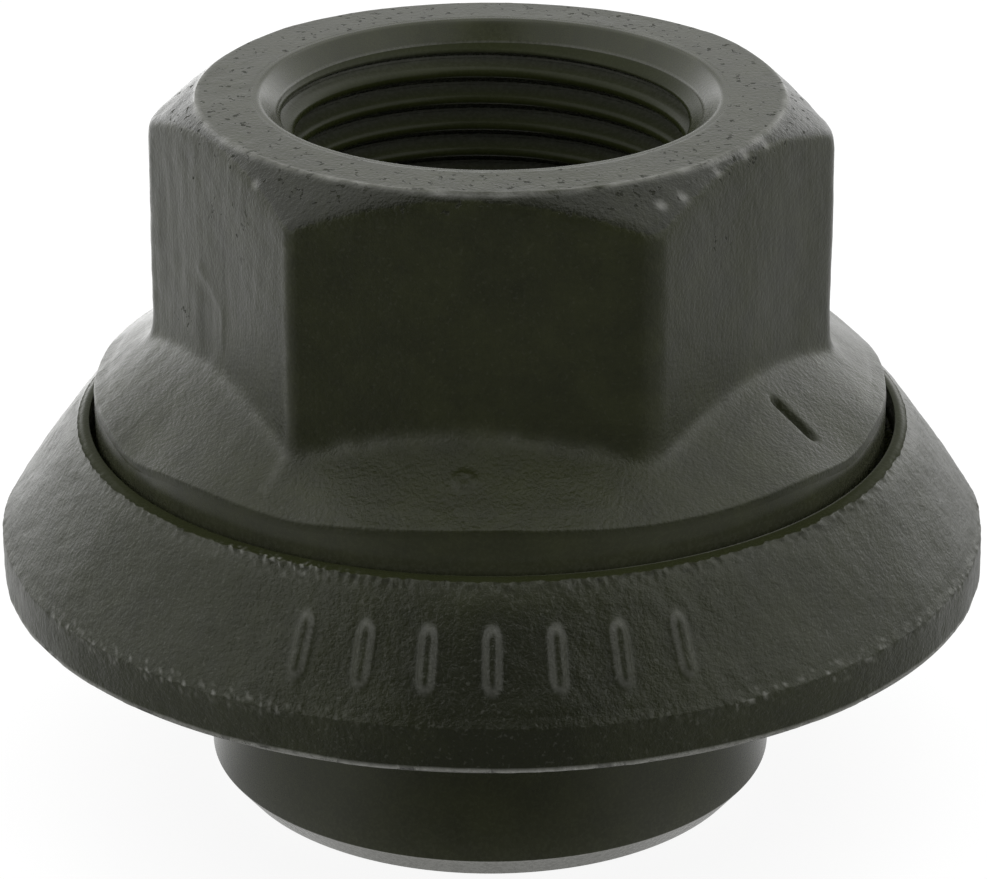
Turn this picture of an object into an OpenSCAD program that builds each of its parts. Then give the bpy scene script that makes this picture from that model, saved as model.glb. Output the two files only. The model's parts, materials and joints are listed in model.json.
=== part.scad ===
// Wheel nut with a captive pressure ring, for a heavy road wheel.
// The nut is one forging: a hexagon head, a coned flange and a long centring sleeve, tapped right through.
// The pressure ring is a second forging that turns freely on the sleeve, between the flange and a rolled bead.
// The axis of the thread is Z, and the nut stands on the end of its sleeve at Z = 0.

/* [Thread] */
// Nominal diameter of the thread
thread_d = 22; // [18:0.5:23]
// Pitch of the thread
thread_pitch = 1.5; // [1:0.25:2]
// Diameter of the countersink where it opens on each end face
countersink_d = 24; // [23.5:0.1:25]

/* [Hexagon] */
// Width across the flats
across_flats = 31.5; // [31:0.1:34]
// Radius of the forged corners
corner_r = 1.9; // [0.5:0.1:3]
// Angle between the front and the middle of the face nearest to it
hex_turn = 3.3; // [-30:0.1:30]
// Height of the top face above the edge of the flange
head_h = 15.9; // [12:0.1:24]
// Diameter of the flat top face
top_face_d = 30.4; // [28:0.1:31]
// Angle of the top chamfer, from the horizontal
top_chamfer_angle = 36; // [20:1:45]

/* [Flange] */
// Diameter of the flange
flange_d = 42; // [39:0.5:46]
// Fall of the flange's top, from the horizontal
flange_slope = 31; // [20:1:40]
// Height of the flange's edge above the underside of the ring
flange_rise = 10.2; // [9.5:0.1:13]
// Height of the turned wall below the flange's edge
flange_wall_h = 3.2; // [2.2:0.1:3.8]
// Radius of the flange's edge
flange_edge_r = 0.2; // [0.1:0.1:1]

/* [Sleeve] */
// Diameter of the sleeve
sleeve_d = 30.4; // [29.4:0.1:32.4]
// Length of the sleeve below the ring
sleeve_l = 12.2; // [5:0.1:20]
// Width of the chamfer at the end of the sleeve
sleeve_chamfer_w = 1.1; // [0.5:0.1:2]
// Height of the chamfer at the end of the sleeve
sleeve_chamfer_h = 1.3; // [0.5:0.1:3]

/* [Pressure ring] */
// Diameter of the ring
ring_d = 52.7; // [48:0.1:60]
// Height of the ring
ring_h = 8.4; // [8:0.05:9.5]
// Height of the upright rim
rim_h = 2.4; // [1.5:0.1:4]
// Radius of the edge between the rim and the cone
rim_edge_r = 0.4; // [0.2:0.1:1]
// Width of the turned land on top of the ring
land_w = 0.75; // [0.5:0.05:1.2]
// Chamfer at the bottom edge of the rim
rim_chamfer = 0.15; // [0.1:0.05:0.6]

/* [Captive fit] */
// Angle of the seat between nut and ring, from the horizontal
seat_angle = 30; // [15:1:35]
// Gap between the two seats, measured along the axis
seat_gap = 0.3; // [0.2:0.05:0.6]
// Radius of the fillet between the nut's seat and its sleeve
seat_fillet_r = 0.8; // [0.3:0.1:1.2]
// Radius of the edge between the ring's seat and its bore
seat_edge_r = 1.2; // [0.3:0.1:1.6]
// Radial gap between the flange and the lip of the ring
lip_gap = 0.4; // [0.3:0.05:0.8]
// Radial gap between the sleeve and the bore of the ring
bore_gap = 0.25; // [0.2:0.05:0.4]
// Radial height of the rolled bead that keeps the ring on the sleeve
bead_w = 0.75; // [0.6:0.05:1]
// Height of the flat outside of the bead
bead_h = 0.6; // [0.3:0.1:1]
// Radius of the edges of the bead
bead_edge_r = 0.15; // [0.05:0.05:0.2]
// Gap between the bead and its recess in the ring
bead_gap = 0.3; // [0.2:0.05:0.5]
// Depth of the bead inside the underside of the ring
bead_inset = 0; // [0:0.1:0.6]

/* [Hidden] */
$fn = 96;

steel = [0.20, 0.20, 0.17];
dark_steel = [0.17, 0.17, 0.15];
arc_steps = 6;
overlap = 1;

// Thread form: the bore is cut to the crest diameter of an ISO metric nut thread.
bore_r = (thread_d - 1.0825 * thread_pitch) / 2;
countersink_r = countersink_d / 2;
countersink_h = countersink_r - bore_r;

// Levels along the axis, from the end of the sleeve.
ring_z = sleeve_l;
edge_z = ring_z + flange_rise;
top_z = edge_z + head_h;
seat_z = edge_z - flange_wall_h;

// Radii.
sleeve_r = sleeve_d / 2;
flange_r = flange_d / 2;
ring_r = ring_d / 2;
ring_bore_r = sleeve_r + bore_gap;
lip_r = flange_r + lip_gap;
bead_r = sleeve_r + bead_w;

// Height of the nut's seat and of the ring's seat at a given radius.
function nut_seat(r) = seat_z - (flange_r - r) * tan(seat_angle);
function ring_seat(r) = nut_seat(r) - seat_gap;

// Levels of the bead, which tapers back to the sleeve at 45 degrees below its flat outside.
bead_z = ring_z + bead_inset;
bead_top = bead_z + bead_w + bead_h;

// Points of an arc of radius r that rounds the corner b between its neighbours a and c.
function unit(v) = v / norm(v);
function corner_arc(a, b, c, r) =
    let (
        u = unit(a - b),
        w = unit(c - b),
        half = acos(u * w) / 2,
        centre = b + unit(u + w) * r / sin(half),
        from = b + u * r / tan(half) - centre,
        turn = (u[0] * w[1] - u[1] * w[0] > 0 ? -1 : 1) * (180 - 2 * half)
    )
    [for (i = [0:arc_steps])
        let (angle = turn * i / arc_steps)
        centre + [
            from[0] * cos(angle) - from[1] * sin(angle),
            from[0] * sin(angle) + from[1] * cos(angle)
        ]];

// An outline from corners [x, y, radius], where a corner with no radius stays sharp.
function flat(corner) = [corner[0], corner[1]];
function rounded(corners) =
    let (count = len(corners))
    [for (i = [0:count - 1])
        let (
            before = flat(corners[(i + count - 1) % count]),
            here = flat(corners[i]),
            after = flat(corners[(i + 1) % count]),
            r = corners[i][2]
        )
        each (r > 0 ? corner_arc(before, here, after, r) : [here])];

// Hexagon with round corners, as a prism from z to the top face.
module hexagon(z, h) {
    apothem = across_flats / 2;
    corner_at = (apothem - corner_r) / cos(30);
    trim = corner_at + corner_r * cos(30);
    translate([0, 0, z]) rotate([0, 0, -hex_turn]) {
        linear_extrude(h) intersection() {
            circle(r = apothem / cos(30), $fn = 6);
            rotate(30) circle(r = trim / cos(30), $fn = 6);
        }
        for (i = [0:5]) rotate([0, 0, 60 * i]) translate([corner_at, 0, 0]) cylinder(r = corner_r, h = h);
    }
}

// Everything above this cone is cut away from the head to leave its top chamfer.
module head_limit(z) {
    reach = across_flats;
    fall = (reach - top_face_d / 2) * tan(top_chamfer_angle);
    rotate_extrude() polygon([
        [0, z],
        [0, top_z],
        [top_face_d / 2, top_z],
        [reach, top_z - fall],
        [reach, min(z, top_z - fall - overlap)]
    ]);
}

// Flange, seat, bead and sleeve, turned on one axis.
module turned_body() {
    cone_r = across_flats / 2 - overlap;
    cone_z = edge_z + (flange_r - cone_r) * tan(flange_slope);
    rotate_extrude() polygon(rounded([
        [0, 0, 0],
        [sleeve_r - sleeve_chamfer_w, 0, 0],
        [sleeve_r, sleeve_chamfer_h, 0],
        [sleeve_r, bead_z, 0],
        [bead_r, bead_z + bead_w, bead_edge_r],
        [bead_r, bead_top, bead_edge_r],
        [sleeve_r, bead_top, 0],
        [sleeve_r, nut_seat(sleeve_r), seat_fillet_r],
        [flange_r, seat_z, 0],
        [flange_r, edge_z, flange_edge_r],
        [cone_r, cone_z, 0],
        [0, cone_z, 0]
    ]));
}

// Tapped hole with a countersink at each end.
module bore() {
    rotate_extrude() polygon([
        [0, -overlap],
        [countersink_r + overlap, -overlap],
        [bore_r, countersink_h],
        [bore_r, top_z - countersink_h],
        [countersink_r + overlap, top_z + overlap],
        [0, top_z + overlap]
    ]);
}

module nut() {
    color(steel) difference() {
        union() {
            intersection() {
                hexagon(seat_z, top_z - seat_z);
                head_limit(seat_z);
            }
            turned_body();
        }
        bore();
    }
}

// Ring section: recess for the bead, bore, seat, lip, land, cone and rim.
module pressure_ring() {
    recess_r = bead_r + bead_gap;
    recess_z = bead_top + bead_gap;
    land_z = ring_z + ring_h;
    color(dark_steel) rotate_extrude() polygon(rounded([
        [recess_r, ring_z, 0],
        [ring_r - rim_chamfer, ring_z, 0],
        [ring_r, ring_z + rim_chamfer, 0],
        [ring_r, ring_z + rim_h, rim_edge_r],
        [lip_r + land_w, land_z, 0],
        [lip_r, land_z, 0],
        [lip_r, ring_seat(lip_r), 0],
        [ring_bore_r, ring_seat(ring_bore_r), seat_edge_r],
        [ring_bore_r, recess_z, 0],
        [recess_r, recess_z, 0]
    ]));
}

nut();
pressure_ring();
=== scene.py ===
# %% [markdown]
# A forged wheel nut and its pressure ring.
# The real object is two steel forgings that stay together for life: a hexagon nut with a coned flange and
# a long centring sleeve, and a loose ring that turns on the sleeve and presses on the wheel. Both wear a
# dark, slightly olive phosphate skin that is rough where the hammer left it and smooth where a lathe cut it.
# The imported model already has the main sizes, so this lesson loads it first and works from its boxes.

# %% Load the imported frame
import json
import math

import bpy
import numpy as np
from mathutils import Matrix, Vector


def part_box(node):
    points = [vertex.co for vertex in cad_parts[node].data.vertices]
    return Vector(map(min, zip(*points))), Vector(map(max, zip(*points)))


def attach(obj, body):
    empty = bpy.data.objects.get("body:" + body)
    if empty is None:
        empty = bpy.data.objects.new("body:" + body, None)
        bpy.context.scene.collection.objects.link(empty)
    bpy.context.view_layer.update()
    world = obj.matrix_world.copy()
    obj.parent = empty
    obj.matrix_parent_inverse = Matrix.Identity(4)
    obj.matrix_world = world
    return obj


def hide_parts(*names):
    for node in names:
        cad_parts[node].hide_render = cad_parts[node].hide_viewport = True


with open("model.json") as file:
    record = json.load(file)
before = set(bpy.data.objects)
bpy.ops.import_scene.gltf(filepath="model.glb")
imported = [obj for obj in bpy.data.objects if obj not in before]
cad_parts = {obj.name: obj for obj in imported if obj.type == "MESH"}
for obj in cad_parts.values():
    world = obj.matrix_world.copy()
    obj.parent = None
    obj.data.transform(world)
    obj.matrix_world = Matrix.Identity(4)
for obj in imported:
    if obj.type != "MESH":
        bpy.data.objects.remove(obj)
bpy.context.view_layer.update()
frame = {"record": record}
MM = 0.001

nut_low, nut_high = (np.array(corner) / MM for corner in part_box("nut"))
ring_low, ring_high = (np.array(corner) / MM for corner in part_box("pressure_ring"))
mounts = {mount["name"]: mount for mount in frame["record"]["mounts"]}
top_z, flange_r = nut_high[2], nut_high[0]
ring_z, land_z, ring_r = ring_low[2], ring_high[2], ring_high[0]
crest_r = mounts["stud_thread"]["dims"]["r_mm"]
sleeve_r = mounts["centring_sleeve"]["dims"]["r_mm"]
print(f"nut: from {nut_low[2]:.2f} to {top_z:.2f} mm, flange radius {flange_r:.2f}")
print(f"nut: sleeve radius {sleeve_r:.2f} mm, thread crest radius {crest_r:.2f}")
print(f"ring: from {ring_z:.2f} to {land_z:.2f} mm, radius {ring_r:.2f}")

# %% [markdown]
# The camera.
# A long lens a forearm's length away looks down on the nut at about 23 degrees. One could frame this by eye,
# but circles of known size on the part give the lens and the place by least squares, and those are used here.

# %% Camera
IMAGE_W = 987
FOCAL_PX = 4443.0
SENSOR_MM = 36
CAMERA_AT = (0, -218.29, 112.73)
LOOK_DOWN, LOOK_RIGHT = 0.4070, 0.0008
CLIP_START = 0.01

camera = bpy.data.objects.new("camera", bpy.data.cameras.new("camera"))
bpy.context.collection.objects.link(camera)
camera.location = [place * MM for place in CAMERA_AT]
camera.rotation_euler = (math.pi / 2 - LOOK_DOWN, 0, -LOOK_RIGHT)
camera.data.sensor_width = SENSOR_MM
camera.data.lens = SENSOR_MM * FOCAL_PX / IMAGE_W
camera.data.clip_start = CLIP_START
bpy.context.scene.camera = camera
bpy.context.scene.view_settings.view_transform = "Standard"
print(f"camera: {camera.data.lens:.1f} mm lens, {math.degrees(LOOK_DOWN):.1f} degrees down")

# %% [markdown]
# Helpers for shader nodes.
# Every finish, and the light too, is a small network of nodes. One could place them by hand in the Shader
# Editor, but a script says the same in fewer words once making, linking and feeding a node are functions.

# %% Node helpers
def node(tree, kind, **sockets):
    """A new node of that kind, with inputs set by name (spaces written as underscores)."""
    made = tree.nodes.new("ShaderNode" + kind)
    for name, value in sockets.items():
        made.inputs[name.replace("_", " ")].default_value = value
    return made


def join(tree, *pairs):
    """Links each (output, input) pair."""
    for out, into in pairs:
        tree.links.new(out, into)


def feed(tree, value, socket):
    """Links a socket to an input, or sets the input to a number or colour."""
    if isinstance(value, bpy.types.NodeSocket):
        tree.links.new(value, socket)
    else:
        socket.default_value = value


def maths(tree, operation, *values):
    """A Math node on values that are sockets or numbers."""
    made = tree.nodes.new("ShaderNodeMath")
    made.operation = operation
    for socket, value in zip(made.inputs, values):
        feed(tree, value, socket)
    return made.outputs[0]


def ramp(tree, value, low, high, to_low, to_high):
    """A value that runs from to_low to to_high, smoothly, while another runs from low to high."""
    made = tree.nodes.new("ShaderNodeMapRange")
    made.interpolation_type = "SMOOTHSTEP"
    for socket, given in zip(made.inputs, (value, low, high, to_low, to_high)):
        feed(tree, given, socket)
    return made.outputs[0]


print("node helpers: node, join, feed, maths, ramp")

# %% [markdown]
# Helpers for places and rays.
# Dark satin steel is drawn by what it mirrors, so the floor and the surround change from front to back, and
# they may look one way to the camera and another to a reflection. A picture of a studio could give that, but
# a few sums on the direction and the kind of ray need no picture and can be tuned one at a time.

# %% Place and ray helpers
NEARLY_ZERO = 1e-6


def split_place(tree, coordinates):
    """The X, Y and Z outputs of the named texture coordinates."""
    split = node(tree, "SeparateXYZ")
    join(tree, (node(tree, "TexCoord").outputs[coordinates], split.inputs[0]))
    return split.outputs


def off_axis(tree, coordinates):
    """Distance of a place from the axis: hypot(x, y)."""
    place = split_place(tree, coordinates)
    across, ahead = place["X"], place["Y"]
    squares = maths(tree, "MULTIPLY_ADD", across, across, maths(tree, "MULTIPLY", ahead, ahead))
    return maths(tree, "SQRT", squares)


def frontness(tree, coordinates):
    """How far a place or direction lies to the front: -y / hypot(x, y), which is 1 in front and -1 behind."""
    reach = maths(tree, "MAXIMUM", off_axis(tree, coordinates), NEARLY_ZERO)
    return maths(tree, "DIVIDE", maths(tree, "MULTIPLY", split_place(tree, coordinates)["Y"], -1), reach)


def by_ray(tree, seen, mirrored, filled):
    """A level for each kind of ray: seen by the camera or through glass, mirrored, or shed as matt light."""
    path = node(tree, "LightPath").outputs
    looked = maths(tree, "MAXIMUM", path["Is Camera Ray"], path["Is Transmission Ray"])
    level = maths(tree, "MULTIPLY", looked, seen)
    level = maths(tree, "MAXIMUM", level, maths(tree, "MULTIPLY", path["Is Glossy Ray"], mirrored))
    return maths(tree, "MAXIMUM", level, maths(tree, "MULTIPLY", path["Is Diffuse Ray"], filled))


print("place helpers: split_place, off_axis, frontness, by_ray")

# %% [markdown]
# The floor in reflections.
# The ring's cone and the flange mirror the floor at a glance. One level for all of it would brighten every
# side alike, so the mirrored floor is brighter behind the nut than in front of it, and brightest nearby.

# %% Mirrored floor
# The mirrored floor: its level behind and at the sides, and the frontness over which it changes and ends.
FLOOR_BACK, FLOOR_SIDE, FLOOR_SIDE_SPAN, FLOOR_FRONT_SPAN = 0.71, 0.38, (-0.25, 0.35), (0.7, 1.06)
# Its right is dimmer and its nearest part brighter, over a width or distance in metres.
FLOOR_RIGHT, FLOOR_RIGHT_SPAN = 0.66, (-0.05, 0.05)
FLOOR_NEAR, FLOOR_NEAR_SPAN = 1.5, (0.018, 0.045)
# A strip straight behind adds to it, most of all at its left.
STRIP_LEVEL, STRIP_SPAN = 1.0, (-1, -0.7)
STRIP_LEFT, STRIP_LEFT_SPAN = 2.6, (-0.03, 0)


def mirrored_floor(tree):
    """Level of the floor in reflections: a product of ramps over place and distance, plus a strip."""
    front, across = frontness(tree, "Object"), split_place(tree, "Object")["X"]
    share = ramp(tree, front, *FLOOR_SIDE_SPAN, FLOOR_BACK, FLOOR_SIDE)
    share = maths(tree, "MULTIPLY", share, ramp(tree, front, *FLOOR_FRONT_SPAN, 1, 0))
    share = maths(tree, "MULTIPLY", share, ramp(tree, across, *FLOOR_RIGHT_SPAN, 1, FLOOR_RIGHT))
    nearby = ramp(tree, off_axis(tree, "Object"), *FLOOR_NEAR_SPAN, FLOOR_NEAR, 1)
    share = maths(tree, "MULTIPLY", share, nearby)
    strip = ramp(tree, front, *STRIP_SPAN, STRIP_LEVEL, 0)
    return maths(tree, "MULTIPLY_ADD", strip, ramp(tree, across, *STRIP_LEFT_SPAN, STRIP_LEFT, 1), share)


print(f"mirrored floor: {FLOOR_BACK} behind and {FLOOR_SIDE} at the sides, times {FLOOR_NEAR} nearby")

# %% [markdown]
# The floor.
# The nut stands on a plain pale floor that takes its shadow. A plain white plane would do, but this one is
# also clear from below, so that the underside of the nut shows in a view from there.

# %% Floor
FLOOR_COLOUR = (0.15, 0.15, 0.15, 1)
FLOOR_GLOW, FLOOR_FILL = 0.88, 0.5
FLOOR_HALF, FLOOR_Z = 3000, -0.02
FLOOR_CORNERS = ((-1, -1), (1, -1), (1, 1), (-1, 1))


def floor_paint():
    """Matt paint plus a glow that differs by kind of ray, clear where it is seen from behind."""
    paint = bpy.data.materials.new("pale_floor")
    paint.use_nodes = True
    tree = paint.node_tree
    tree.nodes.clear()
    matt = node(tree, "BsdfDiffuse", Color=FLOOR_COLOUR)
    glow = node(tree, "Emission")
    both = node(tree, "AddShader")
    one_way = node(tree, "MixShader")
    join(
        tree,
        (by_ray(tree, FLOOR_GLOW, mirrored_floor(tree), FLOOR_FILL), glow.inputs["Strength"]),
        (matt.outputs[0], both.inputs[0]),
        (glow.outputs[0], both.inputs[1]),
        (node(tree, "NewGeometry").outputs["Backfacing"], one_way.inputs[0]),
        (both.outputs[0], one_way.inputs[1]),
        (node(tree, "BsdfTransparent").outputs[0], one_way.inputs[2]),
        (one_way.outputs[0], node(tree, "OutputMaterial").inputs["Surface"]),
    )
    return paint


def make_floor():
    """A square of pale floor just under height 0."""
    half = FLOOR_HALF * MM
    mesh = bpy.data.meshes.new("floor")
    mesh.from_pydata([(x * half, y * half, FLOOR_Z * MM) for x, y in FLOOR_CORNERS], [], [(0, 1, 2, 3)])
    mesh.materials.append(floor_paint())
    floor = bpy.data.objects.new("floor", mesh)
    bpy.context.collection.objects.link(floor)


make_floor()
print(f"floor: {2 * FLOOR_HALF * MM:.0f} m square, at a height of {FLOOR_Z} mm")

# %% [markdown]
# The surround.
# A photographer would stand the nut in a white tent with a hole for the lens. A plain white world would light
# every side alike, so this one is dim straight in front, which keeps the front of the nut dark, and brighter
# along the horizon behind, which gives the edges their sheen.

# %% Surround
WHITE = (1, 1, 1, 1)
WHITE_LEVEL = 1.0
SIDE_LEVEL, FRONT_LEVEL, FRONT_SPAN = 0.74, 0.03, (0.76, 0.93)
HORIZON_BOOST, HORIZON_SPAN = 1.7, (0, 0.45)
BEHIND_SPAN = (-0.85, -0.3)
BEHIND_DIP, BEHIND_DIP_SPAN = 0.35, (-1, -0.9)
FILL_LEVEL, FRONT_FILL_LEVEL = 1.0, 0.8


def make_world():
    """White to the camera. To reflections and as fill it is bright behind the nut and dim in front of it."""
    world = bpy.data.worlds.new("white_surround")
    world.use_nodes = True
    tree = world.node_tree
    front = frontness(tree, "Generated")
    low = ramp(tree, split_place(tree, "Generated")["Z"], *HORIZON_SPAN, HORIZON_BOOST, 0)
    behind = ramp(tree, front, *BEHIND_SPAN, 1, 0)
    behind = maths(tree, "MULTIPLY", behind, ramp(tree, front, *BEHIND_DIP_SPAN, BEHIND_DIP, 1))
    mirrored = ramp(tree, front, *FRONT_SPAN, SIDE_LEVEL, FRONT_LEVEL)
    mirrored = maths(tree, "MULTIPLY_ADD", low, behind, mirrored)
    filled = ramp(tree, front, 0, 1, FILL_LEVEL, FRONT_FILL_LEVEL)
    backdrop = tree.nodes["Background"]
    backdrop.inputs["Color"].default_value = WHITE
    join(tree, (by_ray(tree, WHITE_LEVEL, mirrored, filled), backdrop.inputs["Strength"]))
    bpy.context.scene.world = world


make_world()
print(f"surround: {SIDE_LEVEL} at the sides, {FRONT_LEVEL} in front, up to {HORIZON_BOOST} more behind")

# %% [markdown]
# The lamps.
# Three soft flat lamps, overhead and at both sides, lift the sloping faces a little above the surround. Small
# spots would leave hard dots on the satin skin. A lamp's power follows from its area, so its brightness can
# be given on the same scale as the surround's.

# %% Lamps
# name: direction and distance in mm from the nut, width and height in mm, brightness beside the surround.
LAMPS = {
    "overhead": ((0, 0.05, 1), 500, 350, 350, 0.6),
    "left": ((-0.74, 0.2, 0.64), 500, 1000, 560, 0.57),
    "right": ((0.74, 0.2, 0.64), 500, 1000, 560, 0.6),
}
LAMP_AIM = (0, 0, 20)


def unit(vector):
    """The vector of length 1 in the same direction."""
    return vector / np.linalg.norm(vector)


def make_lamp(name, direction, distance, width, height, brightness):
    """A soft flat lamp that faces the nut: one of area A sheds power = pi * A * brightness."""
    data = bpy.data.lights.new(name, "AREA")
    data.shape = "RECTANGLE"
    data.size, data.size_y = width * MM, height * MM
    data.energy = math.pi * data.size * data.size_y * brightness
    lamp = bpy.data.objects.new(name, data)
    bpy.context.collection.objects.link(lamp)
    away = unit(np.array(direction, float)) * distance
    lamp.location = (np.array(LAMP_AIM) + away) * MM
    lamp.rotation_euler = Vector(away).to_track_quat("Z", "Y").to_euler()
    lamp.visible_camera = False
    print(f"lamp {name}: {data.energy:.2f} W")


for lamp_name, lamp_values in LAMPS.items():
    make_lamp(lamp_name, *lamp_values)

# %% [markdown]
# Sections.
# Both forgings are one section carried round an axis, so both start as an outline of radius and height, as on
# a lathe drawing. Spin or Screw could turn an outline, but a grid worked out with numpy can also change with
# the angle, which the hexagon and the hammered skin need.

# %% Section
ARC_STEPS = 5


def section(corners):
    """Points along an outline of (radius, height, rounding, pitch) corners.

    A corner with a rounding becomes an arc tangent to both its sides. Each straight run is cut into equal
    steps no longer than the pitch of the corner that it starts from. The end of the last run is left out,
    because the next section or the first row starts there.
    """
    places = np.array([corner[:2] for corner in corners], float)
    start, runs = places[0], []
    for k in range(1, len(corners)):
        here, rounding, pitch = places[k], corners[k][2], corners[k - 1][3]
        arc, stop, leave = np.empty((0, 2)), here, here
        if rounding > 0:
            back, ahead = unit(places[k - 1] - here), unit(places[k + 1] - here)
            half = math.acos(back @ ahead) / 2
            centre = here + unit(back + ahead) * rounding / math.sin(half)
            stop = here + back * rounding / math.tan(half)
            leave = here + ahead * rounding / math.tan(half)
            sweep = math.pi - 2 * half
            share = np.arange(ARC_STEPS)[:, None] / ARC_STEPS * sweep
            first, last = stop - centre, leave - centre
            arc = centre + (np.sin(sweep - share) * first + np.sin(share) * last) / math.sin(sweep)
        steps = max(1, math.ceil(np.linalg.norm(stop - start) / pitch))
        runs += [np.linspace(start, stop, steps, endpoint=False), arc]
        start = leave
    return np.concatenate(runs)


print(f"section: each rounded corner is an arc of {ARC_STEPS} steps")

# %% [markdown]
# Columns round the axis.
# The section is repeated at a few hundred angles. Equal steps would be simplest, but the front, the corners
# and the small marks need more columns than the rest, so a density says where they crowd.

# %% Columns and angles
FINE_STEPS = 14401
FRONT_HALF_DEG = 100


def columns(density, count):
    """Angles from the front of `count` columns: each stands for an equal share of the summed density."""
    fine = np.linspace(-math.pi, math.pi, FINE_STEPS)
    total = np.concatenate([[0], np.cumsum(density(fine[:-1]))])
    return np.interp(np.arange(count) / count, total / total[-1], fine)


def ahead_of(angle, half_deg):
    """True within that many degrees of the front, either way."""
    return np.abs(angle) < math.radians(half_deg)


def near(distance, reach):
    """A bell curve: exp(-(distance / reach) squared)."""
    return np.exp(-((distance / reach) ** 2))


def hump(angle, at_deg, width_deg):
    """A bell curve round the axis, of the angle from its middle over its width."""
    apart = (angle - math.radians(at_deg) + math.pi) % math.tau - math.pi
    return near(apart, math.radians(width_deg))


def side_share(angle, from_deg, to_deg):
    """0 in front up to one angle either way, 1 beyond the other, and straight between."""
    return np.clip((np.abs(np.degrees(angle)) - from_deg) / (to_deg - from_deg), 0, 1)


def around(radius, height, angle):
    """Points at a radius, height and angle from the front (-Y), turning towards +X."""
    return np.stack(np.broadcast_arrays(radius * np.sin(angle), -radius * np.cos(angle), height), -1)


print(f"columns: placed to {360 / (FINE_STEPS - 1):.3f} degrees, front half to {FRONT_HALF_DEG} either way")

# %% [markdown]
# Relief.
# A forged skin is uneven at several scales, and tools have left marks on it. Displace modifiers with noise
# textures could push it about, but sums of random cosine waves and distances from points and lines give a
# height for every point of the grid at once, and the same one each time.

# %% Relief helpers
WAVE_COUNT, WAVE_SPREAD = 28, (0.7, 1.4)
STEEPEST = 40


def grid_normals(points):
    """Outward unit normals of a grid: the cross product of its steps down the rows and along the columns."""
    down = np.roll(points, -1, 0) - np.roll(points, 1, 0)
    along = np.roll(points, -1, 1) - np.roll(points, 1, 1)
    normals = np.cross(down, along)
    return normals / np.linalg.norm(normals, axis=-1, keepdims=True)


def unevenness(points, length, seed):
    """Smooth random heights of about -1 to 1: a sum of cosine waves of about that length in mm.

    Each wave has its own random direction and phase, so the surface has no grain of its own.
    """
    rng = np.random.default_rng(seed)
    ways = rng.normal(size=(WAVE_COUNT, 3))
    pace = rng.uniform(*WAVE_SPREAD, WAVE_COUNT) * math.tau / length
    ways *= (pace / np.linalg.norm(ways, axis=1))[:, None]
    phase = rng.uniform(0, math.tau, WAVE_COUNT)
    return np.cos(points @ ways.T + phase).sum(-1) / math.sqrt(WAVE_COUNT)


def forged_skin(points, layers):
    """Height of a forged skin: the sum of its layers of unevenness, each (height, length, seed)."""
    return sum(height * unevenness(points, length, seed) for height, length, seed in layers)


def from_point(points, place):
    """Distance of each point from a place."""
    return np.linalg.norm(points - place, axis=-1)


def from_line(points, start, end):
    """Distance of each point from the straight line between two points."""
    along = end - start
    share = np.clip((points - start) @ along / (along @ along), 0, 1)
    return np.linalg.norm(points - start - share[..., None] * along, axis=-1)


def inside(distance, reach, blur):
    """1 within a reach and 0 beyond it, with a wall about four times the blur wide."""
    return 1 / (1 + np.exp(np.clip((distance - reach) / blur, -STEEPEST, STEEPEST)))


print(f"relief: {WAVE_COUNT} waves in each layer of unevenness")

# %% [markdown]
# From a grid to a piece.
# A forging with a hole through it is a ring of rows and a ring of columns, so its grid closes on itself both
# ways and has no seam and no pole. bmesh could make the faces one by one, but whole arrays are much faster.
# Each piece also carries point layers, such as how worn it is, which its material reads later.

# %% Mesh helpers
def as_piece(name, mesh, shape, layers):
    """An object for a mesh: smooth faces, and a value per point for each layer, spread over the grid."""
    mesh.polygons.foreach_set("use_smooth", np.ones(len(mesh.polygons), bool))
    for layer, values in layers.items():
        spread = np.broadcast_to(values, shape).astype(np.float32)
        mesh.attributes.new(layer, "FLOAT", "POINT").data.foreach_set("value", spread.ravel())
    piece = bpy.data.objects.new(name, mesh)
    bpy.context.collection.objects.link(piece)
    triangles = len(mesh.loops) - 2 * len(mesh.polygons)
    print(f"{name}: {shape[0]} rows of {shape[1]}, {triangles} triangles")
    return piece


def closed_grid(name, points, layers):
    """A piece from a grid of points in mm that closes on itself both ways, with point layers.

    Quad (i, j) joins rows i and i + 1 and columns j and j + 1, and the last row and column join the first.
    """
    rows, cols = points.shape[:2]
    here = np.arange(rows * cols).reshape(rows, cols)
    below = np.roll(here, -1, 0)
    quads = np.stack([here, below, np.roll(below, -1, 1), np.roll(here, -1, 1)], -1)
    mesh = bpy.data.meshes.new(name)
    mesh.vertices.add(rows * cols)
    mesh.loops.add(quads.size)
    mesh.polygons.add(rows * cols)
    mesh.vertices.foreach_set("co", (points * MM).astype(np.float32).ravel())
    mesh.loops.foreach_set("vertex_index", quads.astype(np.int32).ravel())
    mesh.polygons.foreach_set("loop_start", np.arange(0, quads.size, 4, dtype=np.int32))
    mesh.update(calc_edges=True)
    return as_piece(name, mesh, (rows, cols), layers)


def second_skin(piece, rows_with_it, count):
    """Gives material index 1 to the faces between two neighbouring rows that both have the second skin."""
    both = rows_with_it & np.roll(rows_with_it, -1)
    piece.data.polygons.foreach_set("material_index", np.repeat(both, count).astype(np.int32))
    print(f"{piece.name}: {both.sum()} rings of faces have the second skin")


print("mesh helpers: as_piece, closed_grid, second_skin")

# %% [markdown]
# The nut's sizes.
# The blank is forged: a hexagon head runs down into a coned flange through a soft fillet, and a cone cuts the
# head's corners back at the top. The lathe then cuts the flange's wall, the sleeve and the countersinks. The
# packed boxes give the outer sizes, and the values here say how the rest follows from them.

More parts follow.
